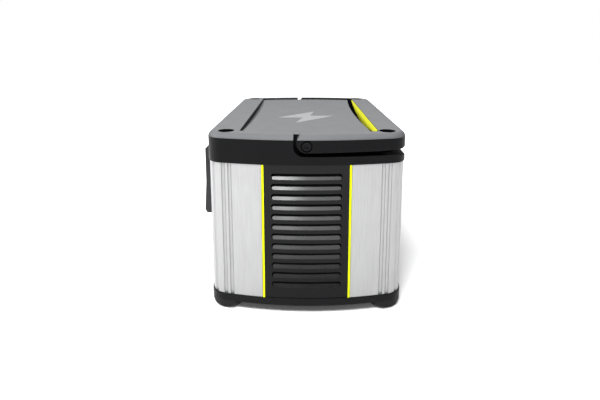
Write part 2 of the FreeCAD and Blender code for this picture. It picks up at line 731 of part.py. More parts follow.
def make_pivot_screw(side):
    """Shoulder screw that holds an arm to the lid."""
    inward = V(-side, 0, 0)
    under_head = LENGTH / 2 - PIVOT_HEAD_IN
    wall_x = LENGTH / 2 - ARM_T - ARM_GAP
    top = V(side * (under_head + PIVOT_HEAD_T), 0, PIVOT_Z)
    head = cylinder(PIVOT_HEAD_R, PIVOT_HEAD_T, top, inward)
    shoulder = cylinder(SHOULDER_R, under_head - wall_x, V(side * under_head, 0, PIVOT_Z), inward)
    thread = cylinder(PIVOT_THREAD_R, PIVOT_THREAD_L, V(side * wall_x, 0, PIVOT_Z), inward)
    return join([head, shoulder, thread]).cut(hex_bar(2.2, 1.6, top, inward))


# ---- front panel --------------------------------------------------------------------------
def make_display_bezel():
    """Upper half of the panel, with the display's sight and the button bores."""
    band_back = WIDTH / 2 + SEAM
    seam = PANEL_SEAM_Z + SEAM
    body = polygon_along_x(
        [(-band_back, PANEL_TOP_Z), (-PANEL_FACE, PANEL_SLOPE_Z), (-PANEL_FACE, seam),
         (-PANEL_BACK, seam), (-PANEL_BACK, LID_Z - SEAM), (-band_back, LID_Z - SEAM)],
        -PANEL_HALF, PANEL_HALF)
    front = PANEL_FACE + 1
    cuts = [
        box(-WINDOW_HALF, WINDOW_HALF, -PANEL_FACE + PANEL_WALL, -PANEL_BACK + 1,
            PANEL_SEAM_Z + PANEL_RIM, WINDOW_Z1),
        facing_block(0, UPPER_Z, DISPLAY_HALF + FIT_GAP, DISPLAY_HALF_H + FIT_GAP,
                     front, PANEL_FACE - DISPLAY_T - FIT_GAP),
        facing_block(0, UPPER_Z, DISPLAY_HALF - DISPLAY_EDGE, DISPLAY_HALF_H - DISPLAY_EDGE,
                     front, PANEL_BACK),
    ]
    for x, radius in BUTTONS.values():
        cuts.append(cylinder(radius + BUTTON_CLEAR, EXTRA, V(x, -front, UPPER_Z), ALONG_Y))
    return body.cut(cuts).removeSplitter()


def port_cutters():
    """Holes through the port panel, a little larger than what passes through them."""
    front = PANEL_REACH + 5
    back = 80.0
    cuts = [facing_block(x, PORT_Z, 7.3, 3.6, front, back) for x in USB_A_XS]
    cuts += [facing_block(x, PORT_Z, 4.9, 2.0, front, back) for x in USB_C_XS]
    cuts += [rounded_block(x, PORT_Z, OUTLET_HALF_W + FIT_GAP, OUTLET_HALF_H + FIT_GAP,
                           front, back, OUTLET_CORNER_R + FIT_GAP)
             for x in OUTLET_XS.values()]
    round_holes = [(CAR_X, PORT_Z, CAR_R + CAR_WALL + FIT_GAP), (CHARGE_X, PORT_Z, CHARGE_R + 0.1)]
    round_holes += [(DC_X, z, DC_R + FIT_GAP) for z in DC_ZS]
    for x, z, radius in round_holes:
        cuts.append(cylinder(radius, EXTRA, V(x, -front, z), ALONG_Y))
    flange_seat = front - PORT_FACE + CAR_FLANGE_T + FIT_GAP
    cuts.append(cylinder(CAR_FLANGE_R + 0.2, flange_seat, V(CAR_X, -front, PORT_Z), ALONG_Y))
    return cuts


def make_port_panel():
    """Lower half of the panel, leaning out, with the holes for the sockets."""
    seam = PANEL_SEAM_Z - SEAM
    toe_y = 94.75
    room_front = 96.2
    body = polygon_along_x(
        [(-PANEL_BACK, seam), (-PANEL_FACE, seam), (-PANEL_REACH, PANEL_FLARE_Z),
         (-PANEL_FACE, PANEL_LOW_Z + 0.2), (-toe_y, PANEL_LOW_Z), (-PANEL_BACK, PANEL_LOW_Z)],
        -PANEL_HALF, PANEL_HALF)
    room = box(-WINDOW_HALF, WINDOW_HALF, -room_front, -PANEL_BACK + 1,
               PANEL_FLARE_Z + 0.6, PANEL_SEAM_Z - PANEL_RIM)
    return body.cut([room] + port_cutters()).removeSplitter()


def make_display_window():
    """Clear window, flush in its rebate."""
    return facing_block(0, UPPER_Z, DISPLAY_HALF, DISPLAY_HALF_H,
                        PANEL_FACE - FIT_GAP, PANEL_FACE - DISPLAY_T - FIT_GAP)


def make_display_module():
    """Display behind the window, on the control board."""
    return facing_block(0, UPPER_Z, DISPLAY_HALF - MODULE_IN, DISPLAY_HALF_H - MODULE_IN,
                        PANEL_FACE - 2, BOARD_FRONT + 0.3)


def make_control_board():
    """Board behind the bezel, with a tactile switch behind each button."""
    board = facing_block(0, UPPER_Z - 1, BOARD_HALF, 10, BOARD_FRONT, BOARD_FRONT - BOARD_T)
    switches = [facing_block(x, UPPER_Z, SWITCH_HALF, SWITCH_HALF, SWITCH_FRONT, BOARD_FRONT - 0.1)
                for x, _ in BUTTONS.values()]
    return join([board] + switches)


def make_button(x, radius):
    """Push button: a domed cap, and a flange that keeps it behind the bezel."""
    front = PANEL_FACE + BUTTON_PROUD
    cap = cylinder(radius, front - BUTTON_BACK, V(x, -front, UPPER_Z), ALONG_Y)
    rim = [e for e in cap.Edges if e.BoundBox.YMax < -PANEL_FACE and e.Length > radius]
    flange = cylinder(radius + BUTTON_FLANGE, 1.0, V(x, -BUTTON_BACK - 1, UPPER_Z), ALONG_Y)
    return join([cap.makeFillet(0.8, rim), flange])


def make_usb_a_ports():
    """Pressed metal USB-A sockets with their contact tongues."""
    ports = []
    for x in USB_A_XS:
        shell = facing_block(x, PORT_Z, 7.2, 3.5, USB_FRONT, 82)
        mouth = facing_block(x, PORT_Z, 6.3, 2.6, USB_FRONT + 1, 86.5)
        tongue = facing_block(x, PORT_Z + 1, 5.5, 0.9, USB_FRONT - 1.5, 86.4)
        ports.append(join([shell.cut(mouth), tongue]))
    return Part.makeCompound(ports)


def make_usb_c_ports():
    """Drawn metal USB-C sockets with their contact tongues."""
    ports = []
    for x in USB_C_XS:
        shell = rounded_block(x, PORT_Z, 4.8, 1.9, USB_FRONT, 88.5, 1.7)
        mouth = rounded_block(x, PORT_Z, 4.2, 1.3, USB_FRONT + 1, 92, 1.2)
        tongue = facing_block(x, PORT_Z, 3.3, 0.35, USB_FRONT - 0.7, 91.9)
        ports.append(join([shell.cut(mouth), tongue]))
    return Part.makeCompound(ports)


def make_usb_board():
    """Small board that the USB sockets are soldered to."""
    return facing_block(0, PORT_Z, 36, 9, USB_BOARD_FRONT, USB_BOARD_FRONT - BOARD_T)


def make_car_socket():
    """12 V accessory socket: a flanged barrel with a hole for the centre contact."""
    front = V(CAR_X, -PORT_FACE, PORT_Z)
    flange = cylinder(CAR_FLANGE_R, CAR_FLANGE_T, front, ALONG_Y)
    barrel = cylinder(CAR_R + CAR_WALL, CAR_DEPTH + 3, front, ALONG_Y)
    bore = cylinder(CAR_R, CAR_DEPTH, front, ALONG_Y)
    hole = cylinder(3.6, CAR_DEPTH + 10, front, ALONG_Y)
    return join([flange, barrel]).cut([bore, hole])


def make_car_contact():
    """Sprung centre contact at the bottom of the 12 V socket."""
    bottom_y = -PORT_FACE + CAR_DEPTH
    pin = cylinder(3.0, 10.0, V(CAR_X, bottom_y - 3, PORT_Z), ALONG_Y)
    washer = cylinder(6.0, 1.5, V(CAR_X, bottom_y + 3 + SEAM, PORT_Z), ALONG_Y)
    return join([pin, washer])


def barrel_jack(x, z, radius, bore_r, pin_r, depth):
    """Round DC socket with its centre pin."""
    front = V(x, -PORT_FACE, z)
    body = cylinder(radius, depth, front, ALONG_Y)
    bore = cylinder(bore_r, depth - 3, front, ALONG_Y)
    pin = cylinder(pin_r, depth - 2, V(x, -PORT_FACE + 1, z), ALONG_Y)
    return join([body.cut(bore), pin])


def make_ac_outlet(x):
    """Mains outlet insert with two blade slots and an earth hole."""
    front = PORT_FACE
    body = rounded_block(x, PORT_Z, OUTLET_HALF_W, OUTLET_HALF_H, front, front - OUTLET_DEPTH,
                         OUTLET_CORNER_R)
    neutral = facing_block(x - BLADE_X, PORT_Z + 2, 1.0, 4.5, front + 1, front - BLADE_DEPTH)
    live = facing_block(x + BLADE_X, PORT_Z + 2, 1.0, 3.5, front + 1, front - BLADE_DEPTH)
    earth = cylinder(2.5, BLADE_DEPTH + 1, V(x, -front - 1, PORT_Z - 7.4), ALONG_Y)
    return body.cut([neutral, live, earth])


# ---- battery ------------------------------------------------------------------------------
def cell_places():
    """Axis positions of the cells."""
    places = []
    for i in range(CELL_COLS):
        for j in range(CELL_ROWS):
            x = (i - (CELL_COLS - 1) / 2) * CELL_PITCH
            y = PACK_Y + (j - (CELL_ROWS - 1) / 2) * CELL_PITCH
            places.append((x, y))
    return places


def make_cells():
    """Cylindrical cells standing in rows."""
    return Part.makeCompound([cylinder(CELL_R, CELL_L, V(x, y, CELL_Z), ALONG_Z)
                              for x, y in cell_places()])


def make_cell_holder(z0):
    """Plate that spaces the cells."""
    plate = block_at(0, PACK_Y, CELL_COLS * CELL_PITCH + 2, CELL_ROWS * CELL_PITCH + 2,
                     z0, z0 + HOLDER_H)
    return plate.cut([cylinder(CELL_R + FIT_GAP, HOLDER_H, V(x, y, z0), ALONG_Z)
                      for x, y in cell_places()])


def make_busbars():
    """Nickel strips on the cell ends, over pairs of columns in turn."""
    top = CELL_Z + CELL_L + SEAM
    bars = []
    for i in range(CELL_COLS // 2):
        x = (2 * i - (CELL_COLS - 2) / 2) * CELL_PITCH
        bars.append(block_at(x, PACK_Y, CELL_PITCH + 12, CELL_ROWS * CELL_PITCH - 6,
                             top, top + BUSBAR_T))
    return Part.makeCompound(bars)


def make_bms_board():
    """Battery management board, upright against the front of the pack."""
    return box(-70, 70, -BMS_BACK - BOARD_T, -BMS_BACK, 28, 78)


def make_battery_leads():
    """Two heavy leads, pack to inverter, each of straight runs and round bends."""
    start_y = -BMS_BACK - BOARD_T
    end_y = -33.0
    low_z, high_z = LEAD_ZS
    bent_y = LEAD_OUT_Y + LEAD_BEND_R
    mid = LEAD_BEND_R * (1 - DIAGONAL)
    leads = []
    for x in LEAD_XS:
        path = Part.Wire([
            Part.makeLine(V(x, start_y, low_z), V(x, bent_y, low_z)),
            arc(V(x, bent_y, low_z), V(x, LEAD_OUT_Y + mid, low_z + mid),
                V(x, LEAD_OUT_Y, low_z + LEAD_BEND_R)),
            Part.makeLine(V(x, LEAD_OUT_Y, low_z + LEAD_BEND_R),
                          V(x, LEAD_OUT_Y, high_z - LEAD_BEND_R)),
            arc(V(x, LEAD_OUT_Y, high_z - LEAD_BEND_R), V(x, LEAD_OUT_Y + mid, high_z - mid),
                V(x, bent_y, high_z)),
            Part.makeLine(V(x, bent_y, high_z), V(x, end_y, high_z)),
        ])
        circle = Part.Wire(Part.makeCircle(LEAD_R, V(x, start_y, low_z), ALONG_Y))
        leads.append(path.makePipeShell([circle], True, True))
    return Part.makeCompound(leads)


# ---- electronics --------------------------------------------------------------------------
def standoff_places():
    """Where the inverter board is held."""
    return [(x, y) for x in STANDOFF_XS for y in STANDOFF_YS]


def make_chassis_shelf():
    """Steel shelf over the battery, on four legs that stand on the tray's floor."""
    leg_x, leg_w = 104.0, 14.0
    front, back = -40.0, 86.0
    plate = box(-leg_x, leg_x + SHELF_T, front, back, SHELF_Z, SHELF_Z + SHELF_T)
    legs = [box(x, x + SHELF_T, y, y + leg_w, FLOOR_Z, SHELF_Z + 0.5)
            for x in (-leg_x, leg_x) for y in (front, back - leg_w)]
    return join([plate] + legs)


def make_standoffs():
    """Posts between the shelf and the inverter board."""
    height = BOARD_Z - SHELF_Z - SHELF_T
    return Part.makeCompound([tube(3.2, 1.3, height, V(x, y, SHELF_Z + SHELF_T), ALONG_Z)
                              for x, y in standoff_places()])


def make_board_screws():
    """Screws that hold the inverter board to its posts."""
    top = BOARD_Z + BOARD_T
    screws = []
    for x, y in standoff_places():
        head = cylinder(2.8, 2.0, V(x, y, top), ALONG_Z)
        shank = cylinder(1.25, 6.0, V(x, y, top), V(0, 0, -1))
        screws.append(join([head, shank]))
    return Part.makeCompound(screws)


def make_inverter_board():
    """Main power board with its battery terminal block."""
    board = box(-BOARD_HALF, BOARD_HALF, -34, 80, BOARD_Z, BOARD_Z + BOARD_T)
    terminal_x = sum(LEAD_XS) / 2
    terminals = block_at(terminal_x, -28.5, 24, 9, BOARD_Z + BOARD_T - 0.1, BOARD_Z + 15)
    holes = [cylinder(1.4, EXTRA, V(x, y, BOARD_Z - 5), ALONG_Z) for x, y in standoff_places()]
    return join([board, terminals]).cut(holes)


def make_heat_sink():
    """Finned heat sink over the power transistors."""
    x, y, length, width = 33.0, 35.0, 86.0, 54.0
    plate_h, fin_h, fin_t, fins = 5.0, 32.0, 1.8, 9
    pitch = (width - fin_t) / (fins - 1)
    first_y = y - width / 2 + fin_t / 2
    pieces = [block_at(x, y, length, width, PART_Z, PART_Z + plate_h)]
    for i in range(fins):
        pieces.append(block_at(x, first_y + i * pitch, length, fin_t,
                               PART_Z + plate_h - 0.5, PART_Z + fin_h))
    return join(pieces)


# the transformer stands at this place: a core with two windows, and one coil through both
TRANSFORMER_X = -63.0
TRANSFORMER_Y = 32.0
CORE_L, CORE_W, CORE_H = 46.0, 36.0, 40.0
CORE_WALL = 8.0
CORE_LEG = 14.2


def make_transformer_core():
    """Ferrite core with a window on each side of its middle leg."""
    x, y = TRANSFORMER_X, TRANSFORMER_Y
    outer = block_at(x, y, CORE_L, CORE_W, PART_Z, PART_Z + CORE_H)
    window_l = (CORE_L - CORE_LEG) / 2 - CORE_WALL
    offset = (CORE_LEG + window_l) / 2
    windows = [block_at(x + side * offset, y, window_l, CORE_W + 2,
                        PART_Z + CORE_WALL, PART_Z + CORE_H - CORE_WALL) for side in (1, -1)]
    return outer.cut(windows)


def make_transformer_coil():
    """Winding round the core's middle leg."""
    x, y = TRANSFORMER_X, TRANSFORMER_Y
    z0 = PART_Z + CORE_WALL + 0.2
    z1 = PART_Z + CORE_H - CORE_WALL - 0.4
    coil = block_at(x, y, CORE_L - 2 * CORE_WALL - 0.4, 52, z0, z1)
    return coil.cut(block_at(x, y, CORE_LEG + 0.2, CORE_W + 0.2, z0 - 1, z1 + 1))


def make_capacitors():
    """Electrolytic cans in a row."""
    radius = 9.0
    cans = []
    for x in CAPACITOR_XS:
        can = cylinder(radius, 32, V(x, CAPACITOR_Y, PART_Z), ALONG_Z)
        rims = [e for e in can.Edges if e.Length > radius and e.BoundBox.ZLength < 0.1]
        cans.append(can.makeFillet(1.2, rims))
    return Part.makeCompound(cans)


def make_inductors():
    """Toroidal chokes lying flat."""
    return Part.makeCompound([tube(13, 6, 11, V(x, INDUCTOR_Y, PART_Z), ALONG_Z)
                              for x in INDUCTOR_XS])


def make_charge_board():
    """Charging board on the tray's floor, with its larger components."""
    top = CHARGE_BOARD_Z + BOARD_T
    board = block_at(0, -51, 120, 62, CHARGE_BOARD_Z, top)
    parts = [block_at(x, y, length, width, top - 0.1, top + height)
             for x, y, length, width, height in CHARGE_PARTS]
    return join([board] + parts)


# ---- fan ----------------------------------------------------------------------------------
def make_fan_frame():
    """Square fan housing with a round duct and the motor's seat on three struts."""
    back_x = FAN_X + FAN_T
    body = box(FAN_X, back_x, -FAN_HALF, FAN_HALF, FAN_Z - FAN_HALF, FAN_Z + FAN_HALF)
    body = body.makeFillet(4.0, [e for e in body.Edges if e.Length < FAN_T + 0.1])
    body = body.cut(cylinder(FAN_BORE_R, EXTRA, V(FAN_X - 1, 0, FAN_Z), ALONG_X))
    plate_x = back_x - FAN_PLATE_T
    hub = cylinder(HUB_R - 1, FAN_PLATE_T, V(plate_x, 0, FAN_Z), ALONG_X)
    round_limit = cylinder(FAN_BORE_R + 0.8, EXTRA, V(FAN_X - 1, 0, FAN_Z), ALONG_X)
    struts = []
    for i in range(3):
        strut = box(plate_x, back_x, -2, 2, FAN_Z, FAN_Z + FAN_HALF)
        strut.rotate(V(0, 0, FAN_Z), ALONG_X, 60 + 120 * i)
        struts.append(strut.common(round_limit))
    body = join([body, hub] + struts)
    cuts = [cylinder(SHAFT_R + SEAM, EXTRA, V(FAN_X - 1, 0, FAN_Z), ALONG_X)]
    for y in (-FAN_SCREW, FAN_SCREW):
        for dz in (-FAN_SCREW, FAN_SCREW):
            cuts.append(cylinder(2.1, EXTRA, V(FAN_X - 1, y, FAN_Z + dz), ALONG_X))
    return body.cut(cuts)


def make_fan_rotor():
    """Hub with pitched blades and a shaft in the housing's bearing."""
    hub_t = ROTOR_T + 0.5
    hub = cylinder(HUB_R, hub_t, V(FAN_X + 1, 0, FAN_Z), ALONG_X)
    shaft = cylinder(SHAFT_R, 3, V(FAN_X + hub_t + 0.9, 0, FAN_Z), ALONG_X)
    sweep = cylinder(ROTOR_R, ROTOR_T, V(FAN_X + ROTOR_IN, 0, FAN_Z), ALONG_X)
    blades = []
    for i in range(BLADES):
        blade = box(-0.8, 0.8, -7.5, 7.5, HUB_R - 3, ROTOR_R + 5)
        blade.rotate(V(0, 0, 0), ALONG_Z, BLADE_PITCH_DEG)
        blade.rotate(V(0, 0, 0), ALONG_X, i * 360.0 / BLADES)
        blade.translate(V(FAN_X + ROTOR_IN + ROTOR_T / 2, 0, FAN_Z))
        blades.append(blade.common(sweep))
    return join([hub, shaft] + blades)


# ---- all pieces ---------------------------------------------------------------------------
def corner_name(sx, sy):
    """Name ending of the pieces in one corner."""
    return ("front" if sy < 0 else "rear") + ("_right" if sx > 0 else "_left")


def save_case():
    save("base_tray", make_base_tray())
    save("front_shell", make_shell(-1))
    save("rear_shell", make_shell(1))
    save("lid", make_lid())
    for sx, sy in CORNERS:
        save("foot_" + corner_name(sx, sy), make_foot(COLUMN_X * sx, COLUMN_Y * sy))
        save("trim_strip_" + corner_name(sx, sy), make_trim_strip(sx, sy))
    for side, end in ((1, "right"), (-1, "left")):
        save("end_grille_" + end, make_end_grille(side))
        save("dust_filter_" + end, make_dust_filter(side))
        save("pivot_screw_" + end, make_pivot_screw(side))
        save("pivot_bush_" + end, make_pivot_bush(side))
    save("lid_screws", Part.makeCompound([pan_head_screw(x, y, LID_SEAT_Z, 16.0, -1)
                                          for x, y in columns()]))
    save("base_screws", Part.makeCompound([pan_head_screw(x, y, BASE_SEAT_Z, 26.0, 1)
                                           for x, y in columns()]))


def save_handle():
    save("handle", make_handle())
    save("handle_grip_insert", insert_shape(0))


def save_front_panel():
    save("display_bezel", make_display_bezel())
    save("port_panel", make_port_panel())
    save("display_window", make_display_window())
    save("display_module", make_display_module())
    save("control_board", make_control_board())
    for name, (x, radius) in BUTTONS.items():
        save(name, make_button(x, radius))
    save("usb_a_ports", make_usb_a_ports())
    save("usb_c_ports", make_usb_c_ports())
    save("usb_board", make_usb_board())
    save("car_socket", make_car_socket())
    save("car_socket_contact", make_car_contact())
    save("dc_ports", Part.makeCompound([barrel_jack(DC_X, z, DC_R, 3.2, 1.0, 14.0)
                                        for z in DC_ZS]))
    save("charge_port", barrel_jack(CHARGE_X, PORT_Z, CHARGE_R, 4.0, 0.9, 16.0))
    for name, x in OUTLET_XS.items():
        save(name, make_ac_outlet(x))


def save_inside():
    save("battery_cells", make_cells())
    save("cell_holder_lower", make_cell_holder(CELL_Z))
    save("cell_holder_upper", make_cell_holder(CELL_Z + CELL_L - HOLDER_H))
    save("cell_busbars", make_busbars())
    save("bms_board", make_bms_board())
    save("battery_leads", make_battery_leads())
    save("chassis_shelf", make_chassis_shelf())
    save("board_standoffs", make_standoffs())
    save("board_screws", make_board_screws())
    save("inverter_board", make_inverter_board())
    save("heat_sink", make_heat_sink())
    save("transformer_core", make_transformer_core())
    save("transformer_coil", make_transformer_coil())
    save("capacitors", make_capacitors())
    save("inductors", make_inductors())
    save("charge_board", make_charge_board())
    save("fan_frame", make_fan_frame())
    save("fan_rotor", make_fan_rotor())


os.makedirs("parts", exist_ok=True)
save_case()
save_handle()
save_front_panel()
save_inside()
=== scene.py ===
"""Looks of the portable power station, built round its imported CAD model.

The CAD nodes keep their shapes. Their edges get real rounding from modifiers, every material
slot gets its own procedural material, and the printed marks, display and light details are
added as pieces of their own. All lengths are metres, in the CAD model's frame: +X is the
right-hand end, -Y the front with the panel, +Z up.
"""
import math

import bmesh
import bpy
from mathutils import Matrix, Vector


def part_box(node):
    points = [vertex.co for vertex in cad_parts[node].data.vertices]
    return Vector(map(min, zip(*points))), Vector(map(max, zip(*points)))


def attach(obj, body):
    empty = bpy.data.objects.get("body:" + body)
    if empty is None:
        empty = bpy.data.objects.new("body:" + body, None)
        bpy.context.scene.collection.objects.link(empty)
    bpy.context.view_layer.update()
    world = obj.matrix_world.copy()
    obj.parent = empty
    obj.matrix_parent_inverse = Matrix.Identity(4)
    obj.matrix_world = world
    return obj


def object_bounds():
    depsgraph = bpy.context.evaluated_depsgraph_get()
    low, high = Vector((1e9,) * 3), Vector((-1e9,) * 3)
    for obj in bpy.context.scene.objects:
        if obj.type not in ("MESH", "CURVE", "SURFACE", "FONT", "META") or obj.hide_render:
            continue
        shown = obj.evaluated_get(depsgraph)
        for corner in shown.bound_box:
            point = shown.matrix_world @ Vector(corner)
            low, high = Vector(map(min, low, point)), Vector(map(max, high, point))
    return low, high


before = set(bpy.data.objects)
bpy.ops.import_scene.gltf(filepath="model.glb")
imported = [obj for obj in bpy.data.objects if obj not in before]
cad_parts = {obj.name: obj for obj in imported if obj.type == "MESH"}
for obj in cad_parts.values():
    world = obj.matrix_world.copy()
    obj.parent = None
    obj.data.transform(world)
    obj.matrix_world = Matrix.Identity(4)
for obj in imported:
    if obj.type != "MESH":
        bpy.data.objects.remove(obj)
CAD_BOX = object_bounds()
MM = 0.001

# ---- camera, as distances from the object's box -------------------------------------------
EYE_FROM_END = 376.2 * MM          # in front of the right-hand end
EYE_HEIGHT = 252.9 * MM
EYE_SIDE = 1.5 * MM                # towards the handle side of the middle
CAMERA_PITCH = 9.40                # degrees below level
CAMERA_YAW = 0.57
LENS = 26.08                       # millimetres, on the default 36 mm sensor
SHIFT_Y = -0.14

# ---- painted sheen on upward faces, in place of grazing reflections ---------------------
PAINTED_SHEEN_FROM = 160 * MM               # no painted sheen under this height, where the folded handle shades the ledge
PAINTED_SHEEN_FADE = 3 * MM
# pale colour of the painted sheen on upward faces, tinted like the studio light's highlights
PAINTED_SHEEN_COLOUR = (0.50, 0.51, 0.53)

# ---- marks ------------------------------------------------------------------------------
DECK_SUNK = 2.0 * MM               # the deck lies this far below the lid's highest edge
DECK_MARK_X = 30 * MM
DECK_MARK_HALF = (32, 39)          # millimetres across and along the lid
INK = 0.04 * MM                    # thickness of printed marks
LAMP_T = 0.15 * MM
RIGHT = Vector((1, 0, 0))          # along the front panel
UP = Vector((0, 0, 1))

# marks on the front panel, in millimetres
SYMBOL_SIZE = 2.6
RING_GAP = 0.6                     # from a button's edge to the middle of its ring
RING_W = 0.5
LAMP_R = 0.8
LAMP_GAP = 3.2                     # from a button's edge to the middle of its lamp
LINE_HALF = 0.25                   # half the stroke of the battery's outline
BATTERY_U = -13                    # middle of the battery, from the middle of the display
BATTERY_HALF = (13, 4.2)
TERMINAL_U = 1.0
TERMINAL_HALF = (0.6, 1.8)
BARS = 4
BAR_U = -23                        # middle of the first charge bar
BAR_PITCH = 5
BAR_HALF = (1.9, 3.2)
FIGURES = ((10, "abcdefg"), (16, "acdefg"))      # middle and lit segments of each figure
FIGURE_HALF = (1.6, 3.0)
SEGMENT_W = 0.7
SEGMENT_GAP = 0.15
PERCENT_DOTS = ((21.5, 2.0), (25.5, -2.0))
PERCENT_DOT_R = 0.9
PERCENT_BAR = [(21.4, -3.0), (22.2, -3.0), (25.6, 3.0), (24.8, 3.0)]

# ---- studio -----------------------------------------------------------------------------
FLOOR_RADIUS = 6.0
FLOOR_CORNERS = 96
FLOOR_GLOW = (0.10, 0.70)          # the floor brightens to plain white between these radii
WORLD_LIGHT = 0.25                 # ambient light; the backdrop itself is white
SOFTBOXES = {                      # place, level width and height, watts, point aimed at
    "front_top": ((0.81, -0.02, 1.15), (0.8, 0.34), 12, (0.14, 0.0, 0.12)),
    "accent": ((0.75, -0.22, 1.19), (0.30, 0.16), 10, (0.14, 0.0, 0.12)),
    "overhead": ((-0.35, 0.0, 1.25), (0.4, 0.8), 4, (0.0, 0.0, 0.17)),
    "side": ((0.15, -1.25, 0.95), (0.5, 0.5), 18, (0.0, 0.0, 0.15)),
    "back": ((-1.5, 0.0, 0.80), (1.6, 0.5), 4, (0.0, 0.0, 0.15)),
}

# ---- rounding -----------------------------------------------------------------------------
WELD_WITHIN = 0.002 * MM
FLAT_WITHIN = math.radians(0.4)
ROUND_FROM = math.radians(28)      # sharper edges than this are rounded
ROUNDING = {                       # node: (edge radius, segments)
    "lid": (0.6 * MM, 3),
    "handle": (0.6 * MM, 3),
    "base_tray": (0.35 * MM, 2),
    "display_bezel": (0.5 * MM, 3),
    "port_panel": (0.5 * MM, 3),
    "end_grille_right": (0.25 * MM, 2),
    "end_grille_left": (0.25 * MM, 2),
    "front_shell": (0.15 * MM, 2),
    "rear_shell": (0.15 * MM, 2),
}


# ---- node trees ---------------------------------------------------------------------------
class Shader:
    """A material under construction: short calls for adding and linking its nodes."""

    def __init__(self, name):
        self.material = bpy.data.materials.new(name)
        self.material.use_nodes = True
        self.nodes = self.material.node_tree.nodes
        self.links = self.material.node_tree.links
        self.surface = self.nodes["Principled BSDF"]
        self.place = self.add("ShaderNodeTexCoord").outputs["Object"]

    def add(self, kind, inputs=None, **settings):
        node = self.nodes.new(kind)
        for name, value in settings.items():
            setattr(node, name, value)
        for name, value in (inputs or {}).items():
            self.feed(node.inputs[name], value)
        return node

    def feed(self, socket, value):
        if isinstance(value, bpy.types.NodeSocket):
            self.links.new(value, socket)
        else:
            socket.default_value = value

    def set(self, **values):
        """Constants and links on the surface shader, by socket name with _ for a space."""
        for name, value in values.items():
            self.feed(self.surface.inputs[name.replace("_", " ")], value)

    def stretched(self, scale):
        return self.add("ShaderNodeMapping", {"Vector": self.place, "Scale": scale}).outputs[0]

    def noise(self, size, detail=3.0, rough=0.5, place=None):
        """Soft noise whose features are about size metres across."""
        inputs = {"Vector": place or self.place, "Scale": 1 / size, "Detail": detail,
                  "Roughness": rough}
        return self.add("ShaderNodeTexNoise", inputs).outputs["Fac"]

    def grains(self, size):
        """Rounded grains about size metres apart."""
        inputs = {"Vector": self.place, "Scale": 1 / size}
        return self.add("ShaderNodeTexVoronoi", inputs, feature="SMOOTH_F1").outputs["Distance"]

    def ramp(self, value, start, end, low=0.0, high=1.0):
        inputs = {"Value": value, "From Min": start, "From Max": end,
                  "To Min": low, "To Max": high}
        return self.add("ShaderNodeMapRange", inputs).outputs[0]

    def maths(self, operation, a, b):
        return self.add("ShaderNodeMath", {0: a, 1: b}, operation=operation).outputs[0]

    def mix(self, factor, a, b):
        inputs = {"Fac": factor, "Color1": (*a, 1) if isinstance(a, tuple) else a,
                  "Color2": (*b, 1) if isinstance(b, tuple) else b}
        return self.add("ShaderNodeMixRGB", inputs).outputs[0]

    def edges(self, radius):
        """1 on sharp outer edges and 0 on flat surface, over about radius metres."""
        rounded = self.add("ShaderNodeBevel", {"Radius": radius}, samples=6).outputs[0]
        normal = self.add("ShaderNodeNewGeometry").outputs["Normal"]
        node = self.add("ShaderNodeVectorMath", {0: rounded, 1: normal}, operation="DOT_PRODUCT")
        return self.ramp(node.outputs["Value"], 0.995, 0.88)

    def bump(self, height, depth):
        """Relief of the given height field, depth metres from its lowest to highest."""
        node = self.add("ShaderNodeBump", {"Height": height, "Distance": depth, "Strength": 1.0})
        self.set(Normal=node.outputs[0])


def scaled(colour, factor):
    return tuple(min(1.0, c * factor) for c in colour)


def moulded_plastic(name, colour, roughness=0.45, grain=0.45 * MM, depth=0.012 * MM,
                    specular=0.5, wear=0.3, dust_and_painted_sheen=0.0):
    """Injection-moulded plastic: spark-eroded grain, faint blotches, polished pale edges, and
    a painted sheen, a paler tone on the faces that look upwards that stands in for grazing
    reflections of the studio light."""
    s = Shader(name)
    blotches = s.noise(30 * MM, 4.0, 0.6)
    tone = s.mix(s.ramp(blotches, 0.35, 0.65), scaled(colour, 0.95), scaled(colour, 1.06))
    speckle = s.noise(grain * 2, 2.0)
    tone = s.mix(s.ramp(speckle, 0.45, 0.75, 0.0, 0.3), tone, scaled(colour, 1.5))
    # Painted sheen: faces that look upwards, above the shade of the folded handle, get a paler tone
    # in place of the studio light's grazing reflection.
    upward = s.add("ShaderNodeSeparateXYZ",
                   {0: s.add("ShaderNodeNewGeometry").outputs["Normal"]}).outputs["Z"]
    height = s.add("ShaderNodeSeparateXYZ", {0: s.place}).outputs["Z"]
    upward_sheen_mask = s.maths("MULTIPLY", s.ramp(upward, 0.2, 0.7, 0.0, dust_and_painted_sheen),
                       s.ramp(height, PAINTED_SHEEN_FROM, PAINTED_SHEEN_FROM + PAINTED_SHEEN_FADE))
    painted_sheen = s.maths("MULTIPLY", upward_sheen_mask, s.ramp(s.noise(18 * MM, 4.0, 0.6), 0.2, 0.7, 0.92, 1.0))
    tone = s.mix(painted_sheen, tone, PAINTED_SHEEN_COLOUR)
    rubbed = s.maths("MULTIPLY", s.edges(0.5 * MM), s.ramp(s.noise(6 * MM), 0.35, 0.6, 0.3, 1.0))
    worn = tuple(c * 0.8 + 0.05 for c in colour)
    s.set(Base_Color=s.mix(s.maths("MULTIPLY", rubbed, wear), tone, worn))
    patchy = s.ramp(s.noise(14 * MM, 3.0), 0.3, 0.7, roughness - 0.015, roughness + 0.02)
    s.set(Roughness=s.maths("SUBTRACT", patchy, s.maths("MULTIPLY", rubbed, 0.1)))
    s.set(Specular_IOR_Level=specular)
    s.bump(s.grains(grain), depth)
    return s.material


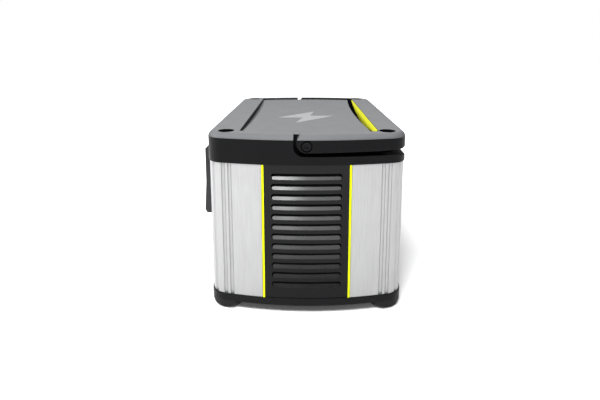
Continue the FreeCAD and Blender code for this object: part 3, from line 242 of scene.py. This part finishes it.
def extruded_aluminium(name):
    """Matt anodised aluminium with the fine upright lines that the die leaves."""
    s = Shader(name)
    upright = s.stretched((1.0, 1.0, 0.012))
    lines = s.noise(0.35 * MM, 3.0, 0.6, upright)
    bands = s.noise(5 * MM, 2.0, 0.5, upright)
    cloud = s.noise(45 * MM, 3.0, 0.5)
    tone = s.mix(s.ramp(lines, 0.3, 0.7), (0.29, 0.29, 0.294), (0.40, 0.40, 0.402))
    tone = s.mix(s.ramp(bands, 0.35, 0.65, 0.0, 0.15), tone, (0.38, 0.382, 0.386))
    tone = s.mix(s.ramp(cloud, 0.35, 0.65, 0.0, 0.2), tone, (0.41, 0.408, 0.405))
    rubbed = s.maths("MULTIPLY", s.edges(0.3 * MM), s.ramp(s.noise(4 * MM), 0.35, 0.6))
    s.set(Base_Color=s.mix(s.maths("MULTIPLY", rubbed, 0.5), tone, (0.92, 0.92, 0.92)))
    s.set(Metallic=0.6, Specular_IOR_Level=0.4)
    s.set(Roughness=s.ramp(lines, 0.3, 0.7, 0.38, 0.50))
    speck = s.noise(0.25 * MM, 2.0)
    s.bump(s.maths("ADD", lines, s.maths("MULTIPLY", speck, 0.5)), 0.006 * MM)
    return s.material


def steel(name, colour, roughness):
    """Plated or painted steel with fine turned marks."""
    s = Shader(name)
    scratch = s.noise(0.5 * MM, 4.0, 0.6, s.stretched((1.0, 0.15, 1.0)))
    s.set(Base_Color=s.mix(scratch, scaled(colour, 0.8), scaled(colour, 1.15)))
    s.set(Metallic=1.0, Roughness=s.ramp(scratch, 0.3, 0.7, roughness - 0.07, roughness + 0.08))
    s.bump(scratch, 0.01 * MM)
    return s.material


def soft_rubber(name, colour, roughness=0.75, specular=0.3, sheen=0.12):
    """Rubber or soft elastomer: fine pores and a dusty sheen."""
    s = Shader(name)
    dust_and_painted_sheen = s.noise(12 * MM, 4.0, 0.6)
    tone = s.mix(s.ramp(dust_and_painted_sheen, 0.35, 0.7), scaled(colour, 0.88), scaled(colour, 1.15))
    s.set(Base_Color=tone, Roughness=s.ramp(dust_and_painted_sheen, 0.3, 0.7, roughness - 0.06, roughness + 0.08))
    s.set(Sheen_Weight=sheen, Sheen_Roughness=0.5, Specular_IOR_Level=specular)
    s.bump(s.noise(0.3 * MM, 3.0), 0.02 * MM)
    return s.material


def foam(name, colour):
    """Open-cell foam sheet."""
    s = Shader(name)
    pores = s.grains(0.9 * MM)
    s.set(Base_Color=s.mix(s.ramp(pores, 0.1, 0.6), scaled(colour, 0.5), scaled(colour, 1.3)))
    s.set(Roughness=0.95, Specular_IOR_Level=0.05)
    s.bump(pores, 0.4 * MM)
    return s.material


def circuit_board(name):
    """Green solder mask over copper tracks."""
    s = Shader(name)
    tracks = s.add("ShaderNodeTexBrick", {"Vector": s.place, "Scale": 60.0,
                                          "Mortar Size": 0.03, "Mortar Smooth": 0.1})
    tone = s.mix(s.noise(8 * MM), (0.006, 0.09, 0.035), (0.012, 0.13, 0.05))
    s.set(Base_Color=s.mix(tracks.outputs["Fac"], tone, (0.03, 0.22, 0.08)))
    s.set(Roughness=s.ramp(tone, 0.0, 0.2, 0.28, 0.38))
    s.bump(tracks.outputs["Fac"], 0.03 * MM)
    return s.material


def clear_window(name):
    """Smoked acrylic display window."""
    s = Shader(name)
    haze = s.noise(9 * MM, 4.0)
    s.set(Base_Color=s.mix(haze, (0.62, 0.64, 0.66), (0.68, 0.70, 0.72)))
    s.set(Roughness=s.ramp(haze, 0.3, 0.7, 0.005, 0.02), Transmission_Weight=0.9)
    s.set(IOR=1.49, Specular_IOR_Level=0.25)
    return s.material


def printed_ink(name, colour):
    """Screen-printed ink: a thin, slightly uneven coat."""
    s = Shader(name)
    coat = s.noise(0.5 * MM, 4.0, 0.6)
    s.set(Base_Color=s.mix(s.ramp(coat, 0.3, 0.7), scaled(colour, 0.92), scaled(colour, 1.05)))
    s.set(Roughness=s.ramp(coat, 0.3, 0.7, 0.45, 0.6), Specular_IOR_Level=0.2)
    s.bump(coat, 0.01 * MM)
    return s.material


def lit_segments(name, colour, glow):
    """Backlit figures of the display, and small indicator lamps."""
    s = Shader(name)
    cells = s.noise(0.4 * MM, 2.0)
    tone = s.mix(s.ramp(cells, 0.3, 0.7), scaled(colour, 0.85), colour)
    s.set(Base_Color=tone, Emission_Color=tone, Emission_Strength=glow)
    s.set(Roughness=s.ramp(cells, 0.3, 0.7, 0.3, 0.4))
    s.bump(cells, 0.005 * MM)
    return s.material


def wound_wire(name, colour, size):
    """Turns of wire or a wrapped sleeve: ridges about size metres apart."""
    s = Shader(name)
    waves = s.add("ShaderNodeTexWave", {"Vector": s.place, "Scale": 0.05 / size,
                                        "Distortion": 0.6}, bands_direction="Z").outputs["Fac"]
    s.set(Base_Color=s.mix(waves, scaled(colour, 0.6), scaled(colour, 1.2)))
    s.set(Metallic=0.6, Roughness=s.ramp(waves, 0.0, 1.0, 0.35, 0.5))
    s.bump(waves, 0.2 * MM)
    return s.material


MATERIALS = {
    # lid and handle: the 0.24 sets the painted sheen, a paler tone on their upward faces
    "lid_plastic": lambda n: moulded_plastic(n, (0.003, 0.003, 0.0035), 0.42, specular=0.08,
                                             dust_and_painted_sheen=0.24),
    "handle_plastic": lambda n: moulded_plastic(n, (0.003, 0.003, 0.0035), 0.42, specular=0.08,
                                                dust_and_painted_sheen=0.24),
    "base_plastic": lambda n: moulded_plastic(n, (0.006, 0.006, 0.0065), 0.42, specular=0.08),
    "grille_plastic": lambda n: moulded_plastic(n, (0.002, 0.002, 0.0025), 0.20, depth=0.004 * MM,
                                                specular=0.14),
    "panel_plastic": lambda n: moulded_plastic(n, (0.014, 0.014, 0.016), 0.50, specular=0.3),
    "shell_aluminium": extruded_aluminium,
    "lime_trim": lambda n: moulded_plastic(n, (0.70, 0.80, 0.002), 0.40, specular=0.1, wear=0.0),
    "lime_grip": lambda n: soft_rubber(n, (1.0, 1.0, 0.04), 0.55, 0.3, 0.0),
    "foot_rubber": lambda n: soft_rubber(n, (0.008, 0.008, 0.0085), 0.6, 0.15, 0.0),
    "screw_steel": lambda n: steel(n, (0.03, 0.03, 0.032), 0.38),
    "pivot_steel": lambda n: steel(n, (0.010, 0.010, 0.011), 0.30),
    "bush_plastic": lambda n: moulded_plastic(n, (0.001, 0.001, 0.001), 0.4, specular=0.03),
    "window_clear": clear_window,
    "display_glass": lambda n: moulded_plastic(n, (0.012, 0.016, 0.018), 0.18, depth=0.001 * MM),
    "board_green": circuit_board,
    "button_rubber": lambda n: soft_rubber(n, (0.05, 0.05, 0.053), 0.6),
    "port_metal": lambda n: steel(n, (0.55, 0.56, 0.58), 0.28),
    "socket_plastic": lambda n: moulded_plastic(n, (0.010, 0.010, 0.011), 0.4),
    "outlet_plastic": lambda n: moulded_plastic(n, (0.022, 0.022, 0.024), 0.38),
    "cell_wrap": lambda n: moulded_plastic(n, (0.03, 0.12, 0.30), 0.3, wear=0.0),
    "holder_plastic": lambda n: moulded_plastic(n, (0.03, 0.03, 0.03), 0.5),
    "nickel": lambda n: steel(n, (0.62, 0.60, 0.56), 0.25),
    "lead_sleeve": lambda n: soft_rubber(n, (0.30, 0.012, 0.010), 0.5),
    "shelf_steel": lambda n: steel(n, (0.50, 0.51, 0.52), 0.42),
    "heat_sink_metal": extruded_aluminium,
    "ferrite": lambda n: soft_rubber(n, (0.03, 0.03, 0.032), 0.6),
    "coil_copper": lambda n: wound_wire(n, (0.55, 0.22, 0.08), 1.2 * MM),
    "capacitor_sleeve": lambda n: moulded_plastic(n, (0.02, 0.03, 0.06), 0.3, wear=0.0),
    "filter_foam": lambda n: foam(n, (0.002, 0.002, 0.002)),
    "fan_plastic": lambda n: moulded_plastic(n, (0.012, 0.012, 0.012), 0.4),
}


def paint_nodes():
    """Give every CAD node its slot's material."""
    slots = {}
    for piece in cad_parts.values():
        for place in piece.material_slots:
            name = place.material.name.split(".")[0]
            if name not in slots:
                slots[name] = MATERIALS[name](name + "_finish")
            place.material = slots[name]


def round_edges():
    """Real rounding on the CAD nodes that show."""
    for name, (radius, segments) in ROUNDING.items():
        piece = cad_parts[name]
        weld = piece.modifiers.new("weld", "WELD")
        weld.merge_threshold = WELD_WITHIN
        flat = piece.modifiers.new("flat", "DECIMATE")
        flat.decimate_type = "DISSOLVE"
        flat.angle_limit = FLAT_WITHIN
        bevel = piece.modifiers.new("bevel", "BEVEL")
        bevel.width = radius
        bevel.segments = segments
        bevel.limit_method = "ANGLE"
        bevel.angle_limit = ROUND_FROM
        bevel.use_clamp_overlap = True
        bevel.miter_outer = "MITER_ARC"
        weighted = piece.modifiers.new("weighted", "WEIGHTED_NORMAL")
        weighted.keep_sharp = False


# ---- printed marks, display and lamps -------------------------------------------------------
def plane_at(origin, right, up):
    """Matrix that puts local X to the right and local Y up on a surface, with Z out of it."""
    turn = Matrix((right, up, right.cross(up))).transposed().to_4x4()
    return Matrix.Translation(origin) @ turn


def add_mesh(name, shape, material):
    """Object made of a finished bmesh, which is freed."""
    mesh = bpy.data.meshes.new(name)
    shape.to_mesh(mesh)
    shape.free()
    mesh.materials.append(material)
    piece = bpy.data.objects.new(name, mesh)
    bpy.context.scene.collection.objects.link(piece)
    return piece


def add_shapes(name, loops, place, thickness, material):
    """Thin raised shapes from closed outlines in millimetres, on a surface of the case."""
    shape = bmesh.new()
    for loop in loops:
        corners = [shape.verts.new((u * MM, v * MM, 0)) for u, v in loop]
        face = shape.faces.new(corners)
        lifted = bmesh.ops.extrude_face_region(shape, geom=[face])["geom"]
        top = [v for v in lifted if isinstance(v, bmesh.types.BMVert)]
        bmesh.ops.translate(shape, verts=top, vec=(0, 0, thickness))
    bmesh.ops.recalc_face_normals(shape, faces=shape.faces)
    bmesh.ops.transform(shape, matrix=place, verts=shape.verts)
    piece = add_mesh(name, shape, material)
    return piece


def rectangle(u, v, half_u, half_v):
    return [(u - half_u, v - half_v), (u + half_u, v - half_v), (u + half_u, v + half_v),
            (u - half_u, v + half_v)]


def disc(u, v, radius, corners=32):
    angles = [2 * math.pi * i / corners for i in range(corners)]
    return [(u + radius * math.cos(a), v + radius * math.sin(a)) for a in angles]


def band(u, v, radius, width, start=0.0, sweep=360.0, steps=48):
    """Arc of a ring as a row of four-sided pieces; angles in degrees."""
    inner, outer = radius - width / 2, radius + width / 2
    pieces = []
    for i in range(steps):
        a = math.radians(start + sweep * i / steps)
        b = math.radians(start + sweep * (i + 1) / steps)
        pieces.append([(u + inner * math.cos(a), v + inner * math.sin(a)),
                       (u + outer * math.cos(a), v + outer * math.sin(a)),
                       (u + outer * math.cos(b), v + outer * math.sin(b)),
                       (u + inner * math.cos(b), v + inner * math.sin(b))])
    return pieces


def bolt(u, v, half_u, half_v):
    """Plain lightning bolt that fills the given half sizes."""
    corners = ((0.30, 1.0), (-1.0, -0.14), (-0.12, -0.14), (-0.36, -1.0), (1.0, 0.18), (0.14, 0.18))
    return [(u + half_u * a, v + half_v * b) for a, b in corners]


def sun(u, v, size):
    """Lamp symbol: a disc with rays."""
    shapes = [disc(u, v, size * 0.42)]
    for i in range(8):
        a = math.radians(45 * i)
        along, across = (math.cos(a), math.sin(a)), (-math.sin(a), math.cos(a))
        ray = [(0.60, -0.06), (1.0, -0.06), (1.0, 0.06), (0.60, 0.06)]
        shapes.append([(u + size * (p * along[0] + q * across[0]),
                        v + size * (p * along[1] + q * across[1])) for p, q in ray])
    return shapes


def wave(u, v, size):
    """Alternating-current symbol."""
    steps, width = 16, 0.13 * size
    line = [(size * (2 * i / steps - 1), 0.45 * size * math.sin(2 * math.pi * i / steps))
            for i in range(steps + 1)]
    return [[(u + a, v + b - width), (u + c, v + d - width), (u + c, v + d + width),
             (u + a, v + b + width)] for (a, b), (c, d) in zip(line, line[1:])]


def direct(u, v, size):
    """Direct-current symbol: a full line over a broken one."""
    shapes = [rectangle(u, v + 0.3 * size, size, 0.12 * size)]
    for i in (-1, 0, 1):
        shapes.append(rectangle(u + 0.72 * i * size, v - 0.3 * size, 0.26 * size, 0.12 * size))
    return shapes


def figure(u, v, lit):
    """Seven-segment figure; lit names its segments, a to g."""
    half_u, half_v = FIGURE_HALF
    stroke = SEGMENT_W / 2
    level = (half_u - stroke - SEGMENT_GAP, stroke)
    upright = (stroke, half_v / 2 - stroke - SEGMENT_GAP)
    places = {"a": (0, 1, level), "b": (1, 0.5, upright), "c": (1, -0.5, upright),
              "d": (0, -1, level), "e": (-1, -0.5, upright), "f": (-1, 0.5, upright),
              "g": (0, 0, level)}
    shapes = []
    for segment in lit:
        a, b, half = places[segment]
        shapes.append(rectangle(u + a * half_u, v + b * half_v, *half))
    return shapes


def mark_lid():
    """Plain lightning bolt printed on the deck."""
    low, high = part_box("lid")
    deck = plane_at((DECK_MARK_X, (low.y + high.y) / 2, high.z - DECK_SUNK),
                    Vector((0, 1, 0)), Vector((-1, 0, 0)))
    ink = printed_ink("pale_ink", (0.24, 0.245, 0.25))
    piece = add_shapes("deck_mark", [bolt(0, 0, *DECK_MARK_HALF)], deck, INK, ink)
    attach(piece, "case")


def mark_buttons():
    """A symbol on each button, a ring round it and an indicator lamp above it."""
    ink = printed_ink("button_ink", (0.62, 0.63, 0.64))
    ring = printed_ink("ring_ink", (0.20, 0.205, 0.21))
    lamp = lit_segments("lamp_green", (0.10, 0.85, 0.22), 1.2)
    bezel_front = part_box("display_bezel")[0].y
    symbols = {"button_12v": direct, "button_usb": direct, "button_light": sun,
               "button_ac": wave}
    for button, symbol in symbols.items():
        low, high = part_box(button)
        middle = (low + high) / 2
        radius = (high.x - low.x) / 2 / MM
        cap = plane_at((middle.x, low.y, middle.z), RIGHT, UP)
        face = plane_at((middle.x, bezel_front, middle.z), RIGHT, UP)
        piece = add_shapes(button + "_symbol", symbol(0, 0, SYMBOL_SIZE), cap, INK, ink)
        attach(piece, button)
        piece = add_shapes(button + "_ring", band(0, 0, radius + RING_GAP, RING_W), face, INK,
                           ring)
        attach(piece, "case")
        piece = add_shapes(button + "_lamp", [disc(0, radius + LAMP_GAP, LAMP_R)], face, LAMP_T,
                           lamp)
        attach(piece, "case")


def light_display():
    """Charge bars, a two-figure reading and an outline of a battery."""
    low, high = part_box("display_module")
    middle = (low + high) / 2
    face = plane_at((middle.x, low.y, middle.z), RIGHT, UP)
    white = lit_segments("figures_white", (0.80, 0.90, 0.95), 1.6)
    lime = lit_segments("bars_lime", (0.55, 0.90, 0.05), 1.6)
    long_half, tall_half = BATTERY_HALF
    outline = [rectangle(BATTERY_U, tall_half, long_half, LINE_HALF),
               rectangle(BATTERY_U, -tall_half, long_half, LINE_HALF),
               rectangle(BATTERY_U - long_half, 0, LINE_HALF, tall_half + LINE_HALF),
               rectangle(BATTERY_U + long_half, 0, LINE_HALF, tall_half + LINE_HALF),
               rectangle(TERMINAL_U, 0, *TERMINAL_HALF)]
    bars = [rectangle(BAR_U + BAR_PITCH * i, 0, *BAR_HALF) for i in range(BARS)]
    reading = [shape for u, lit in FIGURES for shape in figure(u, 0, lit)]
    percent = [disc(u, v, PERCENT_DOT_R) for u, v in PERCENT_DOTS] + [PERCENT_BAR]
    for name, shapes, material in (("display_outline", outline, white),
                                   ("display_bars", bars, lime),
                                   ("display_figures", reading + percent, white)):
        piece = add_shapes(name, shapes, face, INK, material)
        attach(piece, "case")


# ---- studio ---------------------------------------------------------------------------------
def make_floor():
    """Round sheet of white paper, lit from below further out so that it ends in plain white."""
    s = Shader("floor_paper")
    fibres = s.noise(2 * MM, 3.0)
    s.set(Base_Color=s.mix(fibres, (0.90, 0.90, 0.905), (0.93, 0.93, 0.93)))
    s.set(Roughness=s.ramp(fibres, 0.3, 0.7, 0.85, 0.95), Specular_IOR_Level=0.1)
    s.bump(fibres, 0.02 * MM)
    distance = s.add("ShaderNodeVectorMath", {0: s.place}, operation="LENGTH").outputs["Value"]
    s.set(Emission_Color=(1, 1, 1, 1), Emission_Strength=s.ramp(distance, *FLOOR_GLOW))
    shape = bmesh.new()
    bmesh.ops.create_circle(shape, cap_ends=True, radius=FLOOR_RADIUS, segments=FLOOR_CORNERS)
    floor = add_mesh("floor", shape, s.material)


def make_world():
    """Weak even light, in front of a backdrop that the camera sees as plain white."""
    world = bpy.data.worlds.new("studio")
    bpy.context.scene.world = world
    world.use_nodes = True
    nodes = world.node_tree.nodes
    links = world.node_tree.links
    ambient = nodes["Background"]
    ambient.inputs["Color"].default_value = (1, 1, 1, 1)
    ambient.inputs["Strength"].default_value = WORLD_LIGHT
    backdrop = nodes.new("ShaderNodeBackground")
    backdrop.inputs["Color"].default_value = (1, 1, 1, 1)
    seen = nodes.new("ShaderNodeLightPath")
    choice = nodes.new("ShaderNodeMixShader")
    links.new(seen.outputs["Is Camera Ray"], choice.inputs["Fac"])
    links.new(ambient.outputs[0], choice.inputs[1])
    links.new(backdrop.outputs[0], choice.inputs[2])
    links.new(choice.outputs[0], nodes["World Output"].inputs["Surface"])


def add_softbox(name, place, size, power, aim):
    """Rectangular area light aimed at a point."""
    light = bpy.data.lights.new(name, "AREA")
    light.shape = "RECTANGLE"
    light.size, light.size_y = size
    light.energy = power
    lamp = bpy.data.objects.new(name, light)
    lamp.location = place
    lamp.rotation_euler = (Vector(aim) - Vector(place)).to_track_quat("-Z", "Y").to_euler()
    bpy.context.scene.collection.objects.link(lamp)


def make_camera():
    """Camera that faces the right-hand end from a little above the lid."""
    lens = bpy.data.cameras.new("camera")
    lens.lens = LENS
    lens.shift_y = SHIFT_Y
    camera = bpy.data.objects.new("camera", lens)
    camera.location = (CAD_BOX[1].x + EYE_FROM_END, EYE_SIDE, EYE_HEIGHT)
    camera.rotation_euler = (math.radians(90 - CAMERA_PITCH), 0, math.radians(90 + CAMERA_YAW))
    bpy.context.scene.collection.objects.link(camera)
    bpy.context.scene.camera = camera


paint_nodes()
round_edges()
mark_lid()
mark_buttons()
light_display()
make_floor()
make_world()
for softbox, settings in SOFTBOXES.items():
    add_softbox(softbox, *settings)
make_camera()
bpy.context.scene.view_settings.view_transform = "Standard"
